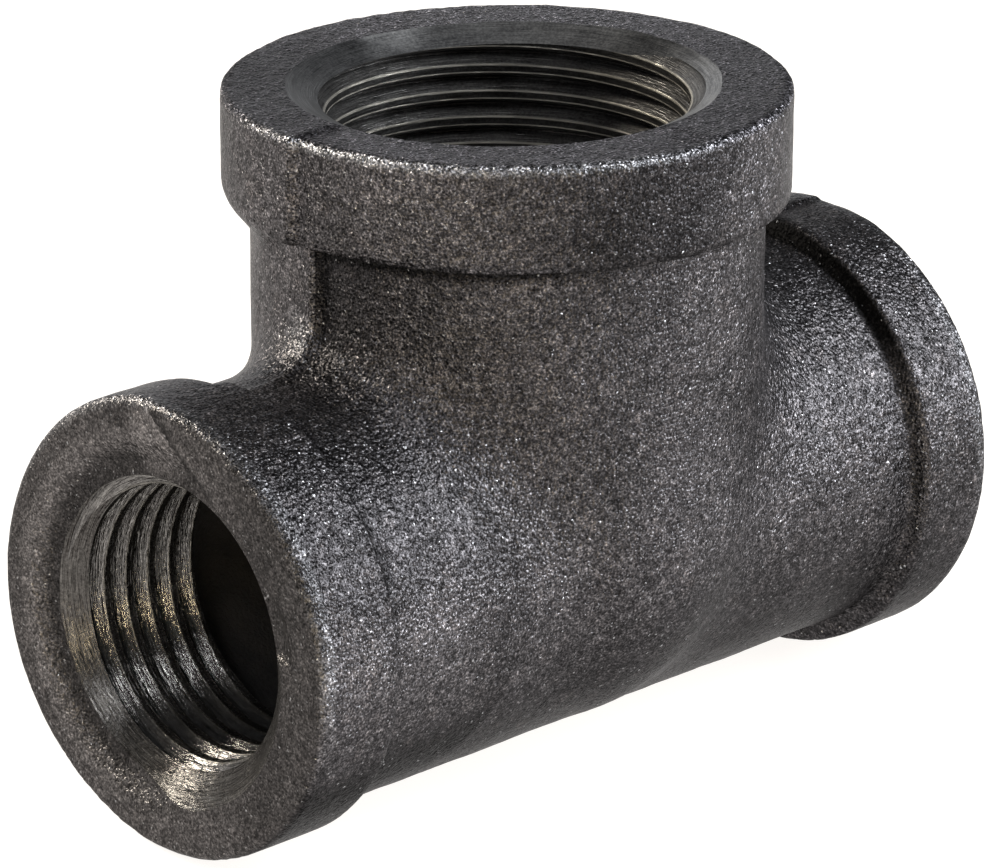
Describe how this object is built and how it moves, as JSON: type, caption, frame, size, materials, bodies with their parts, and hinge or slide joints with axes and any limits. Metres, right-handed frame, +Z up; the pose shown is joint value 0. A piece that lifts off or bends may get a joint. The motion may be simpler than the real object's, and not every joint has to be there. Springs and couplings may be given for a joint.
{
  "type": "pipe tee",
  "caption": "Cast iron reducing pipe tee: a straight threaded run with a larger threaded branch rising from its middle, each port ringed by a band.",
  "frame": {"origin": "on the surface that the tee lies on, under the branch axis, midway between the run faces", "axes": "+X along the run, +Z up the branch axis and out of its port, +Y across both"},
  "size_m": [0.062, 0.0378, 0.0459],
  "materials": {
    "cast_iron": "dark grey as-cast skin with a fine grain, and bare machined threads and mouths"
  },
  "bodies": {
    "root": {"tee_casting": "cast_iron"}
  },
  "joints": []
}
